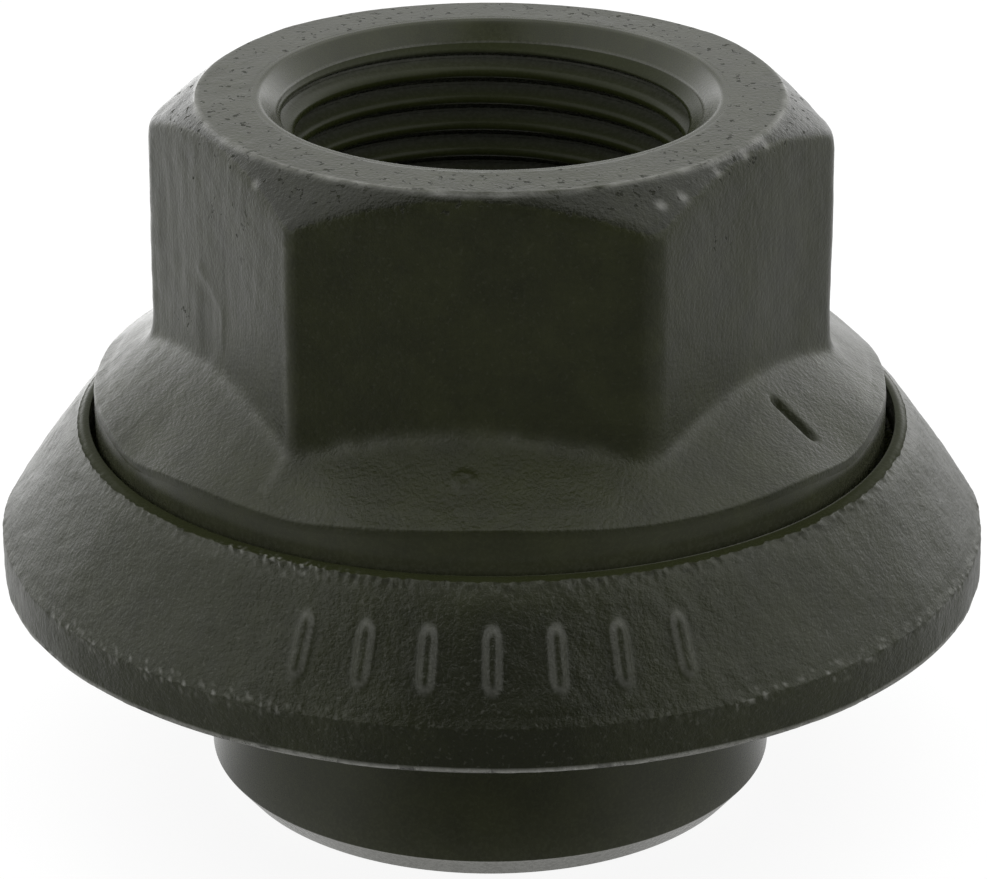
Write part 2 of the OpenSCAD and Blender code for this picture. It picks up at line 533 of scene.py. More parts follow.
# %% Nut sizes in mm
ACROSS_FLATS = 31.5
HEAD_H = 15.9
TOP_FACE_R = 15.3
CHAMFER_FALL = math.tan(math.radians(36))
FLANGE_FALL = math.tan(math.radians(31))
FLANGE_EDGE_R = 0.16
FLANGE_WALL_H = 3.2
SEAT_FALL = math.tan(math.radians(30))
SEAT_FILLET_R = 0.8
MOUTH_R, MOUTH_EDGE_R = 12, 0.4
ROOT_R = 11
SLEEVE_CHAMFER_W, SLEEVE_CHAMFER_H = 1.1, 1.3
BEAD_W, BEAD_H = 0.75, 0.6
# How near a row has to lie to a surface to count as part of it.
HAIR = 0.02
edge_z = top_z - HEAD_H
seat_z = edge_z - FLANGE_WALL_H
print(f"nut: flange edge at {edge_z:.2f} mm, foot of its wall at {seat_z:.2f}")

# %% [markdown]
# The hexagon.
# The hammer leaves the hexagon's corners round. One could model a prism and bevel it, but the smaller of the
# hexagon's radius and the cone's, softened where they meet, gives the chamfer's curved edges by itself, and
# the larger of that and the flange's cone gives the fillet at the foot.

# %% Hexagon
CORNER_R, SHARP_CORNER_R = 1.9, 0.9
HEX_TURN_DEG = -3.3
CORNER_STEP_DEG = 60
HALF_STEP_DEG = CORNER_STEP_DEG / 2
# Corners count from 0 at the front right. This one, at the front left, is sharper than the others.
SHARP_CORNER = -1


def hexagon_radius(angle):
    """Radius of a hexagon with round corners: flat / cos(angle from the face's middle), and near a corner
    the far side of a circle of the corner's radius, set inside the corner so that both faces are tangent."""
    flat = ACROSS_FLATS / 2
    turned = np.degrees(angle) - HEX_TURN_DEG
    off_middle = np.abs((turned + HALF_STEP_DEG) % CORNER_STEP_DEG - HALF_STEP_DEG)
    off_corner = np.radians(HALF_STEP_DEG - off_middle)
    is_sharp = np.round((turned - HALF_STEP_DEG) / CORNER_STEP_DEG) == SHARP_CORNER
    corner_r = np.where(is_sharp, SHARP_CORNER_R, CORNER_R)
    lean = math.cos(math.radians(HALF_STEP_DEG))
    centre = (flat - corner_r) / lean
    tangent = np.arctan2(corner_r / 2, centre + corner_r * lean)
    under_root = np.maximum(corner_r**2 - (centre * np.sin(off_corner)) ** 2, 0)
    arc = centre * np.cos(off_corner) + np.sqrt(under_root)
    return np.where(off_corner < tangent, arc, flat / np.cos(np.radians(off_middle)))


def soft_min(a, b, soft):
    """The smaller of two lengths, rounded where they cross: (a + b - hypot(a - b, soft)) / 2."""
    return (a + b - np.hypot(a - b, soft)) / 2


def soft_max(a, b, soft):
    """The larger of two lengths, rounded in the same way."""
    return (a + b + np.hypot(a - b, soft)) / 2


widest = hexagon_radius(np.linspace(-math.pi, math.pi, FINE_STEPS)).max()
print(f"hexagon: {ACROSS_FLATS:.1f} mm across flats, {2 * widest:.1f} across its widest corners")

# %% [markdown]
# The nut's section.
# From the top face the outline goes over the chamfer and down the head, out along the flange, down its turned
# wall, in along the seat, over the rolled bead that keeps the ring on, down the sleeve and up the bore. The
# head's rows are drawn too wide on purpose, because the hexagon trims them in the next step.

# %% Nut section
CAP_R = 20.5
SEAM_W, CONE_START_W, FOOT_MARGIN = 0.5, 0.8, 0.6
seam_r = MOUTH_R + SEAM_W
cone_r = flange_r - CONE_START_W
cone_z = edge_z + (flange_r - cone_r) * FLANGE_FALL
cap_z = top_z - (CAP_R - TOP_FACE_R) * CHAMFER_FALL
foot_z = edge_z + (flange_r - ACROSS_FLATS / 2) * FLANGE_FALL + FOOT_MARGIN
bead_z = ring_z + BEAD_W
seat_foot_z = seat_z - (flange_r - sleeve_r) * SEAT_FALL

head = section([
    (seam_r, top_z, 0, 0.2),
    (TOP_FACE_R, top_z, 0.14, 0.2),
    (CAP_R, cap_z, 0, 0.3),
    (CAP_R, foot_z, 0, 0.12),
    (CAP_R, cone_z, 0, 1),
])
shank = section([
    (cone_r, cone_z, 0, 0.12),
    (flange_r, edge_z, FLANGE_EDGE_R, 0.4),
    (flange_r, seat_z, 0.2, 1.2),
    (sleeve_r, seat_foot_z, SEAT_FILLET_R, 1.5),
    (sleeve_r, bead_z + BEAD_H, 0, 0.4),
    (sleeve_r + BEAD_W, bead_z + BEAD_H, 0.15, 0.6),
    (sleeve_r + BEAD_W, bead_z, 0.15, 0.5),
    (sleeve_r, ring_z, 0.2, 0.8),
    (sleeve_r, SLEEVE_CHAMFER_H, 0.12, 0.3),
    (sleeve_r - SLEEVE_CHAMFER_W, 0, 0.1, 0.6),
    (MOUTH_R, 0, 0.15, 0.3),
    (ROOT_R, MOUTH_R - ROOT_R, 0, 2.4),
    (ROOT_R, top_z - (MOUTH_R - ROOT_R), 0, 0.2),
    (MOUTH_R, top_z, MOUTH_EDGE_R, 0.2),
    (seam_r, top_z, 0, 1),
])
nut_outline = np.concatenate([head, shank])
nut_is_head = np.arange(len(nut_outline))[:, None] < len(head)
print(f"nut section: {len(head)} rows of head, {len(shank)} rows of shank")

# %% [markdown]
# The nut's columns.
# Three small marks lie on the left face and the flange: a scar, a round pip and a struck tick. Columns crowd
# round them and at the six corners, so that the marks stay crisp without a fine mesh everywhere.

# %% Nut columns
NUT_COLUMNS = 416
BACK_DENSITY, FRONT_DENSITY = 0.6, 0.9
CORNER_CROWD_DEG = 5
TICK_DEG, PIP_DEG, SCAR_DEG = 57.8, -4.0, -63.0
# Each mark: degrees from the front, how far its columns reach, and how many more there are.
MARK_CROWDS = ((TICK_DEG, 1.2, 4), (PIP_DEG, 3, 1), (SCAR_DEG, 8, 1))


def nut_density(angle):
    """Columns crowd on the front half, at the hexagon's corners and round the small marks."""
    corner_degs = [HEX_TURN_DEG + HALF_STEP_DEG + CORNER_STEP_DEG * k for k in range(6)]
    corners = sum(hump(angle, at, CORNER_CROWD_DEG) for at in corner_degs)
    marks = sum(more * hump(angle, at, width) for at, width, more in MARK_CROWDS)
    return BACK_DENSITY + FRONT_DENSITY * ahead_of(angle, FRONT_HALF_DEG) + corners + marks


nut_angle = columns(nut_density, NUT_COLUMNS)[None, :]
gaps = np.degrees(np.diff(nut_angle[0]))
print(f"nut columns: {NUT_COLUMNS}, from {gaps.min():.2f} to {gaps.max():.2f} degrees apart")

# %% [markdown]
# The nut's form.
# A forging isn't true: the flange's edge waves up and down by a few tenths of a millimetre, and the top edge
# is drawn in a little at the back. Sculpting would do this, but a few named humps give the same form each
# time. The turned faces stay true, so the ring still runs on them.

# %% Nut form
CHAMFER_SOFT, FOOT_SOFT = 0.5, 0.75
TOP_DRAWN_IN, TOP_DRAWN_DEG, TOP_DRAWN_SPREAD_DEG = 0.35, 180, 40
# Waves of the flange's edge: degrees from the front, width in degrees, height in mm.
EDGE_WAVES = (
    (0, 17, 0.42), (-28, 6, -0.16), (-61, 7, -0.4), (62, 8, -0.4), (45, 8, 0.08), (-44, 6, 0.1),
    (150, 20, 0.2), (-140, 16, -0.25), (110, 14, -0.2),
)
# The wave grows outwards from this radius, and up the wall from a little above its foot.
WAVE_FROM_R, WAVE_FROM_H, WAVE_RISE_H = 16.5, 0.4, 1.4


def flange_wave(angle):
    """Height of the flange's edge over its mean, as a sum of humps round the axis."""
    return sum(height * hump(angle, at, width) for at, width, height in EDGE_WAVES)


def nut_form():
    """The true nut as a grid: the head's radius is the lesser of the outline and the hexagon, but not less
    than the flange's cone. The flange's edge waves, and the top edge is drawn in at the back."""
    radius, height = nut_outline[:, :1], nut_outline[:, 1:]
    near_edge = np.clip((radius - MOUTH_R) / (TOP_FACE_R - MOUTH_R), 0, 1)
    drawn = radius - TOP_DRAWN_IN * near_edge * hump(nut_angle, TOP_DRAWN_DEG, TOP_DRAWN_SPREAD_DEG)
    cone = flange_r - (height - edge_z) / FLANGE_FALL
    formed = soft_max(soft_min(drawn, hexagon_radius(nut_angle), CHAMFER_SOFT), cone, FOOT_SOFT)
    radius = np.where(nut_is_head, formed, radius + 0 * nut_angle)
    up_wall = np.clip((height - seat_z - WAVE_FROM_H) / WAVE_RISE_H, 0, 1)
    out_flange = np.clip((radius - WAVE_FROM_R) / (flange_r - WAVE_FROM_R), 0, 1)
    is_flange = (height < foot_z) & (height > seat_z + WAVE_FROM_H)
    height = height + flange_wave(nut_angle) * up_wall * out_flange * is_flange
    return around(radius, height, nut_angle)


nut_true = nut_form()
nut_radius, nut_height = np.hypot(nut_true[..., 0], nut_true[..., 1]), nut_true[..., 2]
waved = flange_wave(nut_angle)
print(f"nut: flange edge waves from {waved.min():.2f} to {waved.max():.2f} mm")

# %% [markdown]
# The scar on the left face.
# The hammer has left a shallow hollow there, with raised creases beside it. It could be sculpted, but a mark
# is only a height that depends on the distance from a point or a line, so a formula keeps its place and size
# in plain view.

# %% Scar on the nut
# Ends of the hollow and of the creases: degrees from the front and height in mm.
HOLLOW = ((-67.0, 29.2), (-66.5, 26.6))
HOLLOW_REACH, HOLLOW_BLUR, HOLLOW_DEPTH = 0.8, 0.18, 0.08
CREASES = (((-70, 30.6), (-59.8, 29.2)), ((-59.8, 29.2), (-60.3, 26.8)), ((-60.3, 26.8), (-57, 26.3)))
CREASE_REACH, CREASE_BLUR, CREASE_HEIGHT = 0.2, 0.11, 0.06


def on_hexagon(degrees, height):
    """A point of the hexagon's side."""
    return around(hexagon_radius(math.radians(degrees)), height, math.radians(degrees))


def scar_height(points):
    """Height of the scar: the hollow, and on it or beside it the higher of the creases."""
    from_hollow = from_line(points, *(on_hexagon(*place) for place in HOLLOW))
    scar = -HOLLOW_DEPTH * inside(from_hollow, HOLLOW_REACH, HOLLOW_BLUR)
    for line in CREASES:
        from_crease = from_line(points, *(on_hexagon(*place) for place in line))
        crease = CREASE_HEIGHT * inside(from_crease, CREASE_REACH, CREASE_BLUR)
        scar = np.maximum(scar, crease + np.minimum(scar, 0))
    return scar


nut_scar = scar_height(nut_true)
print(f"scar: from {nut_scar.min():.2f} to {nut_scar.max():.2f} mm")

# %% [markdown]
# Struck marks and dents.
# A punch has struck a short tick into the flange and left a round pip on it, and handling has dented the
# chamfer. Cutters and booleans could make them, but heights by distance, as for the scar, keep one skin.

# %% Struck marks and dents
TICK_LEAN_DEG, TICK_FROM_R, TICK_TO_R = 0.3, 17.25, 19.35
TICK_HALF_W, TICK_BLUR, TICK_DEPTH = 0.26, 0.05, 0.4
PIP_R, PIP_REACH, PIP_WALL, PIP_HEIGHT = 18.1, 0.4, 0.2, 0.16
# Dents on the chamfer: degrees from the front, radius and depth below the top face.
DENTS = (
    (30.4, 16.6, 1.0), (35.4, 16.4, 0.9), (46.2, 15.8, 0.4), (55.7, 15.6, 0.3), (63.3, 15.7, 0.3),
    (-46, 16.4, 0.9),
)
DENT_REACH, DENT_BLUR, DENT_DEPTH = 0.24, 0.07, 0.12


def on_flange(radius, degrees):
    """A point of the flange's cone."""
    return around(radius, edge_z + (flange_r - radius) * FLANGE_FALL, math.radians(degrees))


def nut_marks(points):
    """Height in mm of all marks with the scar, and how far each point lies in a dent."""
    tick_ends = (on_flange(radius, TICK_DEG + TICK_LEAN_DEG) for radius in (TICK_FROM_R, TICK_TO_R))
    tick = -TICK_DEPTH * inside(from_line(points, *tick_ends), TICK_HALF_W, TICK_BLUR)
    from_pip = from_point(points, on_flange(PIP_R, PIP_DEG))
    pip = PIP_HEIGHT * near(from_pip - PIP_REACH, PIP_WALL)
    dents = 0
    for degrees, radius, drop in DENTS:
        at = around(radius, top_z - drop, math.radians(degrees))
        dents = np.maximum(dents, inside(from_point(points, at), DENT_REACH, DENT_BLUR))
    return tick + pip + nut_scar - DENT_DEPTH * dents, dents


nut_marked, nut_dented = nut_marks(nut_true)
print(f"nut marks: from {nut_marked.min():.2f} to {nut_marked.max():.2f} mm")

# %% [markdown]
# The nut's hammered skin.
# Between the marks the forged faces are uneven by a few hundredths of a millimetre, while the turned faces
# are smooth. Noise in the material alone would leave the outline too clean, so the skin moves the points too.
# A forged layer tells the faces apart here and in the material, and is calmer at the far sides, where a grain
# seen at a glance would glitter too much.

# %% Nut skin
# Layers of unevenness: height in mm, length in mm and seed.
NUT_SKIN = ((0.03, 7, 3), (0.010, 1.6, 4), (0.004, 0.6, 5))
TOP_GRAIN, FORGED_BELOW_EDGE = 0.5, 0.12
SIDE_CALM, SIDE_CALM_DEG = 0.4, (50, 85)
DRAWN_REACH = 0.15

to_edge = (nut_outline[:, 1:] > edge_z - FORGED_BELOW_EDGE) & (nut_outline[:, :1] > cone_r - HAIR / 2)
nut_grain = np.where(nut_height > top_z - HAIR, TOP_GRAIN, 1.0)
nut_forged = np.where(nut_is_head | to_edge, nut_grain, 0.0)
nut_push = nut_forged * (forged_skin(nut_true, NUT_SKIN) + nut_marked)
nut_points = nut_true + nut_push[..., None] * grid_normals(nut_true)
nut_points[..., 2] = np.clip(nut_points[..., 2], 0, top_z)
nut_layers = {
    "forged": nut_forged * (1 - SIDE_CALM * side_share(nut_angle, *SIDE_CALM_DEG)),
    "drawn": near(nut_radius - hexagon_radius(nut_angle), DRAWN_REACH) * nut_is_head,
}
print(f"nut skin: pushed by {nut_push.min():.2f} to {nut_push.max():.2f} mm")

# %% [markdown]
# Wear and painted light on the nut.
# Handling bares the steel on the top edge, and grinding leaves the sleeve's end chamfer bare. A pale band
# along the hexagon's foot and a pale line down one corner are painted highlights, the end chamfer and the
# sleeve's foot get a painted reflection of the floor, and the bore's roots and the foot of the flange's wall
# get painted light against their shade. Pointiness could find edges, but it also finds every lump, so each
# share comes from the distance to a few edges.

# %% Wear and painted light on the nut
BESIDE = 0.1
TOP_WEAR, TOP_SKIN_H = 0.02, 0.05
EDGE_WEAR, EDGE_REACH, EDGE_H = 0.3, 0.14, 0.3
# Painted highlights: a pale band along the fillet at the hexagon's foot, and a pale line down one corner.
FOOT_HIGHLIGHT, FOOT_REACH = 0.08, 0.45
CORNER_HIGHLIGHT, CORNER_OFF_DEG, CORNER_SPREAD_DEG, CORNER_BELOW = 0.06, -31, 0.8, 3
# Painted light: the bore's roots between the thread's turns are made paler against their shade. Dents are
# bare.
ROOT_LIGHT, DENT_WEAR = 0.16, 0.4
# The flange's wall is a little bare, and its foot is made paler as painted light against the shade of the gap.
WALL_WEAR, WALL_FOOT_LIGHT, WALL_FOOT_REACH = 0.015, 0.05, 0.55
# The sleeve's end chamfer is ground bare and made paler as a painted reflection of the floor. Its foot gets a
# painted reflection of the floor that fades upwards.
SLEEVE_END_WEAR_AND_REFLECTION, SLEEVE_FOOT_REFLECTION, SLEEVE_FADE_H = 0.95, 0.055, 2.5
# Wear and painted highlights of the forged faces are patchy: share, length in mm, seed and limits.
PATCH_SHARE, PATCH_LENGTH, PATCH_SEED, PATCH_LIMITS = 0.35, 1.4, 6, (0.2, 1.6)


def head_wear_and_highlights(points, radius, height):
    """Bare steel of the forged head, the most of the top face and its edge, and painted highlights along its
    foot and on one corner.
    """
    top = TOP_WEAR * (height > top_z - TOP_SKIN_H) * (radius > MOUTH_R - BESIDE)
    edge = EDGE_WEAR * near(radius - TOP_FACE_R, EDGE_REACH) * (height > top_z - EDGE_H)
    flange = edge_z + (flange_r - radius) * FLANGE_FALL
    off_foot = np.hypot(radius - hexagon_radius(nut_angle), height - flange)
    foot = FOOT_HIGHLIGHT * near(off_foot, FOOT_REACH) * nut_is_head
    corner = CORNER_HIGHLIGHT * hump(nut_angle, HEX_TURN_DEG + CORNER_OFF_DEG, CORNER_SPREAD_DEG)
    foot = foot + corner * nut_is_head * (height < top_z - CORNER_BELOW)
    patchy = np.clip(1 + PATCH_SHARE * unevenness(points, PATCH_LENGTH, PATCH_SEED), *PATCH_LIMITS)
    return np.maximum(np.maximum(top, edge), foot) * patchy


def turned_wear_and_light(radius, height):
    """Bare steel and painted light of the turned faces: the sleeve's end, bare and with a painted reflection
    of the floor, a painted reflection on the sleeve's foot, painted light in the bore's roots, and the
    flange's wall, a little bare, with painted light at its foot.
    """
    is_end = (height < SLEEVE_CHAMFER_H + HAIR) & (radius > sleeve_r - SLEEVE_CHAMFER_W - HAIR)
    root = ROOT_LIGHT * (radius < ROOT_R + HAIR)
    is_wall = (nut_outline[:, :1] > flange_r - BESIDE) & (nut_forged == 0) & (height > seat_z)
    wall = is_wall * (WALL_WEAR + WALL_FOOT_LIGHT * near(height - land_z, WALL_FOOT_REACH))
    fade = np.exp(-np.maximum(height - SLEEVE_CHAMFER_H, 0) / SLEEVE_FADE_H)
    sleeve = SLEEVE_FOOT_REFLECTION * fade * (radius > sleeve_r - BESIDE) * (height < ring_z)
    return SLEEVE_END_WEAR_AND_REFLECTION * is_end + root + wall + sleeve


nut_wear_and_light = head_wear_and_highlights(nut_true, nut_radius, nut_height) + turned_wear_and_light(nut_radius, nut_height)
nut_layers["worn"] = np.clip(nut_wear_and_light + DENT_WEAR * nut_dented, 0, 1)
print(f"nut wear: {nut_layers['worn'].mean():.3f} of bare steel on the mean of all points")

# %% [markdown]
# Pits and painted shade on the nut.
# Rust has eaten small pits into a few patches of the hexagon and into the top, and the chamfer is darkened
# with painted shade. A painted mask would do, but patches named by angle and height can be read and moved.

# %% Pits and painted shade on the nut
# Pitted places: degrees from the front, height in mm, reach in mm.
PITTED = (
    (-51, 34.5, 1.3), (-60, 34.3, 1.1), (-72, 35.5, 0.9), (-38, 32.4, 0.7), (-78, 27.0, 1.0),
    (45, 34.5, 1.2), (150, 31.0, 5.0),
)
TOP_PITS, TOP_PITS_H = 0.8, 1
# Painted shade: the chamfer's colour is darkened below the top face.
CHAMFER_SHADE, CHAMFER_INTO, CHAMFER_BELOW = 0.5, 0.2, 0.1


def nut_pits(points):
    """How pitted the skin is: patches on the hexagon's faces, and all of the top face and its chamfer."""
    patches = 0
    for degrees, height, reach in PITTED:
        patches = np.maximum(patches, near(from_point(points, on_hexagon(degrees, height)), reach))
    top = TOP_PITS * (points[..., 2] > top_z - TOP_PITS_H)
    return np.maximum(patches, top) * (nut_forged > 0)


chamfer_z = top_z - (nut_radius - TOP_FACE_R) * CHAMFER_FALL
on_chamfer = (nut_height > chamfer_z - CHAMFER_INTO) & (nut_height < top_z - CHAMFER_BELOW)
nut_layers["pitted"] = nut_pits(nut_true)
nut_layers["stained"] = CHAMFER_SHADE * (on_chamfer & nut_is_head)
print(f"nut: {(nut_layers['pitted'] > 0.5).sum()} points pitted, {(nut_layers['stained'] > 0).sum()} stained")

# %% [markdown]
# The nut as a piece.
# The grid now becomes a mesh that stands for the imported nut. The bore could be a piece of its own, but it is
# one with the nut, so its faces only take the thread's skin, because they show between the thread's turns.

# %% Nut piece
nut = closed_grid("forged_nut", nut_points, nut_layers)
second_skin(nut, nut_outline[:, 0] < ROOT_R + HAIR / 2, NUT_COLUMNS)
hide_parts("nut")
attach(nut, "nut")

# %% [markdown]
# The thread.
# The bore carries a fine right-hand metric thread, 1.5 mm from crest to crest. A Screw modifier could wind
# it, but one rounded ridge carried along a helix is easier to trim: near each mouth no point may lie inside
# the countersink's cone, so the first and last turns run out as a tap leaves them.

# %% Thread
PITCH = 1.5
CREST_SHARE, ROOT_SHARE = 0.07, 0.49
RIDGE_POINTS = 13
SINK = 0.04
STATIONS_PER_TURN = 80
RUN_OUT, MOUTH_CLEAR = 0.5, 0.05
# Painted light: the thread's roots are made paler against their shade.
THREAD_ROOT_LIGHT = 0.19


def thread_surface():
    """A closed ridge carried along height = pitch * angle / full turn, and the painted light of its roots.

    Across the ridge the radius runs from the crest, over CREST_SHARE of the pitch either way, to the root at
    ROOT_SHARE, by share * share * (3 - 2 * share), which rounds both ends of each flank.
    """
    across = np.linspace(-ROOT_SHARE, ROOT_SHARE, RIDGE_POINTS)
    share = np.clip((np.abs(across) - CREST_SHARE) / (ROOT_SHARE - CREST_SHARE), 0, 1)
    radius = crest_r + (ROOT_R + SINK - crest_r) * share * share * (3 - 2 * share)
    ridge = np.stack([radius, across * PITCH], -1)
    turns = (top_z - 2 * RUN_OUT) / PITCH
    angle = np.linspace(0, turns * math.tau, int(turns * STATIONS_PER_TURN))[None, :]
    height = RUN_OUT + angle / math.tau * PITCH + ridge[:, 1:]
    mouth = MOUTH_R - np.minimum(height, top_z - height) + SINK / 2
    trimmed = np.clip(height, MOUTH_CLEAR, top_z - MOUTH_CLEAR)
    return around(np.maximum(ridge[:, :1], mouth), trimmed, angle), THREAD_ROOT_LIGHT * share[:, None] ** 2


def open_tube(name, points, layers):
    """A piece from a grid whose rows close on themselves, with a flat face across each end."""
    rows, cols = points.shape[:2]
    here = np.arange(rows * cols).reshape(rows, cols)
    below = np.roll(here, -1, 0)
    quads = np.stack([here[:, :-1], here[:, 1:], below[:, 1:], below[:, :-1]], -1).reshape(-1, 4)
    ends = [here[:, 0].tolist(), here[::-1, -1].tolist()]
    mesh = bpy.data.meshes.new(name)
    mesh.from_pydata((points * MM).reshape(-1, 3), [], quads.tolist() + ends)
    return as_piece(name, mesh, (rows, cols), layers)


thread_points, thread_root_light = thread_surface()
thread = open_tube("stud_thread", thread_points, {"worn": thread_root_light})
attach(thread, "nut")

# %% [markdown]
# The pressure ring.
# The ring is forged as a cone on a short upright rim and then turned inside and on its narrow top land. It
# could be a bevelled cone with a hole, but one section carried round the axis keeps the recess for the nut's
# bead and the seat inside. It lies a little to the right, because it is loose on the sleeve.

# %% Ring sizes in mm and section
LIP_GAP, LAND_W = 0.4, 0.75
LIP_H = 0.6
RIM_H, RIM_EDGE_R, RIM_BREAK = 2.4, 0.3, 0.08
BORE_GAP, SEAT_GAP, BEAD_GAP, SEAT_EDGE_R = 0.25, 0.3, 0.3, 1.2
RING_PLAY = 0.1
rim_r = ring_r - RING_PLAY
lip_r = flange_r + LIP_GAP
land_r = lip_r + LAND_W
ring_bore_r = sleeve_r + BORE_GAP
recess_r = sleeve_r + BEAD_W + BEAD_GAP
recess_z = bead_z + BEAD_H + BEAD_GAP


def ring_seat(radius):
    """Height of the ring's seat: it falls inwards below the nut's seat, with the seat gap between them."""
    return seat_z - (flange_r - radius) * SEAT_FALL - SEAT_GAP


ring_outline = section([
    (lip_r, land_z - LIP_H, 0, 0.2),
    (lip_r, land_z, 0.06, 0.1),
    (land_r, land_z, 0.05, 0.2),
    (rim_r, ring_z + RIM_H, RIM_EDGE_R, 0.25),
    (rim_r, ring_z + RIM_BREAK, 0.02, 0.06),
    (rim_r - RIM_BREAK, ring_z, 0.02, 1.2),
    (recess_r, ring_z, 0.1, 0.5),
    (recess_r, recess_z, 0.1, 0.4),
    (ring_bore_r, recess_z, 0.1, 0.8),
    (ring_bore_r, ring_seat(ring_bore_r), SEAT_EDGE_R, 0.9),
    (lip_r, ring_seat(lip_r), 0.2, 0.4),
    (lip_r, land_z - LIP_H, 0, 1),
])
print(f"ring section: {len(ring_outline)} rows, lip radius {lip_r:.2f} mm, land radius {land_r:.2f}")

# %% [markdown]
# The ring's columns and zones.
# The same few zones of the ring steer its relief and its wear: the forged outside, the outer edge of the land
# and the edge of the rim. Vertex groups could hold them, but as arrays they can be multiplied at once.

# %% Ring columns and zones
RING_COLUMNS = 750
RING_BACK_DENSITY, RING_FRONT_DENSITY, BAR_DENSITY = 0.7, 0.9, 0.8
BARS_HALF_DEG = 28
LAND_EDGE_REACH, LAND_EDGE_H = 0.3, 1
RIM_EDGE_REACH, RIM_EDGE_W = 0.45, 0.6


def ring_density(angle):
    """Columns crowd on the front, and most where the ring carries its row of raised bars."""
    front = RING_FRONT_DENSITY * ahead_of(angle, FRONT_HALF_DEG)
    return RING_BACK_DENSITY + front + BAR_DENSITY * ahead_of(angle, BARS_HALF_DEG)


ring_angle = columns(ring_density, RING_COLUMNS)[None, :]
ring_radius, ring_height = ring_outline[:, :1], ring_outline[:, 1:] + 0 * ring_angle
ring_true = around(ring_radius, ring_height, ring_angle)
ring_forged = np.where((ring_radius > land_r - HAIR) & (ring_height > ring_z + HAIR), 1.0, 0.0)
land_edge = near(ring_radius - land_r, LAND_EDGE_REACH) * (ring_height > land_z - LAND_EDGE_H)
rim_edge = near(ring_height - ring_z - RIM_H, RIM_EDGE_REACH) * (ring_radius > rim_r - RIM_EDGE_W)
print(f"ring: {ring_forged.mean():.2f} of its points are forged")

# %% [markdown]
# The ring's bars.
# A row of plain raised bars stands on the front of the cone, as the forging die leaves them. Booleans could
# add them, but a height over the cone keeps the ring one closed skin with soft walls.

# %% Ring bars
BAR_COUNT, BAR_STEP_DEG = 7, 7.5
BAR_FROM_R, BAR_TO_R, BAR_HALF_W, BAR_BLUR, BAR_HEIGHT = 23.8, 24.9, 0.32, 0.045, 0.4


def ring_bars(radius, angle):
    """Share of the raised bars: each point takes the nearest bar's angle and its distance from that bar."""
    step = math.radians(BAR_STEP_DEG)
    nearest = np.clip(np.round(angle / step), -(BAR_COUNT // 2), BAR_COUNT // 2) * step
    across = np.abs(radius * np.sin(angle - nearest))
    along = np.maximum(np.maximum(BAR_FROM_R - radius, radius - BAR_TO_R), 0)
    return inside(np.hypot(across, along), BAR_HALF_W, BAR_BLUR)


bar_share = ring_bars(ring_radius, ring_angle) * ring_forged
print(f"ring bars: {BAR_COUNT}, each {BAR_TO_R - BAR_FROM_R + 2 * BAR_HALF_W:.2f} mm long")

# %% [markdown]
# The ring's relief.
# The land's outer edge runs out in small teeth where the lathe met the rough cone, and at both sides it is
# rounded off. Nicks run along the rim's edge. A knife brush in Sculpt Mode could cut them, but random waves
# that are held to an edge give teeth and nicks without any handwork.

# %% Ring relief
# Layers of unevenness: height in mm, length in mm and seed.
RING_SKIN = ((0.04, 6, 11), (0.012, 1.3, 12), (0.006, 0.5, 14))
NICK_DEPTH, NICK_LENGTH, NICK_SEED = 0.04, 0.6, 13
TOOTH_SIZE, TOOTH_LENGTH, TOOTH_SEED, TOOTH_H = 0.09, 0.5, 15, 0.4
TOOTHLESS, TOOTHLESS_DEG = 0.8, (55, 80)
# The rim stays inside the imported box, and the land is rounded inwards and down at the sides.
RIM_W, RIM_STAND = 0.4, 0.03
SIDE_ROUND, SIDE_ROUND_DEG, ROUND_IN, ROUND_DOWN = 0.22, (50, 78), 0.46, 0.89


def ring_relief():
    """The ring's points, pushed along the normals by its skin, nicks and bars. The land's edge then moves out
    by its teeth, and in and down where it is rounded."""
    nicks = NICK_DEPTH * np.clip(unevenness(ring_true, NICK_LENGTH, NICK_SEED), 0, None) * rim_edge
    push = forged_skin(ring_true, RING_SKIN) - nicks + BAR_HEIGHT * bar_share
    push = ring_forged * (1 - land_edge) * push
    push = np.where(ring_radius > rim_r - RIM_W, np.minimum(push, RIM_STAND) - RIM_STAND, push)
    pushed = ring_true + push[..., None] * grid_normals(ring_true)
    toothed = land_edge * (ring_height > land_z - TOOTH_H)
    toothed = toothed * (1 - TOOTHLESS * side_share(ring_angle, *TOOTHLESS_DEG))
    teeth = TOOTH_SIZE * unevenness(ring_true, TOOTH_LENGTH, TOOTH_SEED) * toothed
    cut = SIDE_ROUND * land_edge * side_share(ring_angle, *SIDE_ROUND_DEG)
    edge = around(teeth - ROUND_IN * cut, -ROUND_DOWN * cut, ring_angle)
    return pushed + edge + np.array([RING_PLAY, 0, 0])


ring_points = ring_relief()
print(f"ring relief: bars {BAR_HEIGHT} mm high, teeth of about {TOOTH_SIZE} mm")

# %% [markdown]
# Painted glints on the ring's edges.
# Small grains of bare grit along the rim's edge and at one place of the land are made pale as painted glints.
# Specks in the material would be everywhere, so random heights over a limit choose the grains, and a zone and
# an angle choose the places.

# %% Sparkle on the ring
# Painted glints: the grit is made pale at one place of the land, and along the rim only at some angles.
SPARKLE, SPARKLE_DEG, SPARKLE_SPREAD_DEG = 0.6, -29, 8
GRIT_LENGTH, GRIT_SEED, GRIT_FROM = 0.4, 16, 0.5
RIM_SPARKLE, RIM_SPARKLE_DEG = 0.6, (12, 32)
RIM_DULL, RIM_DULL_DEG = 0.7, (70, 100)


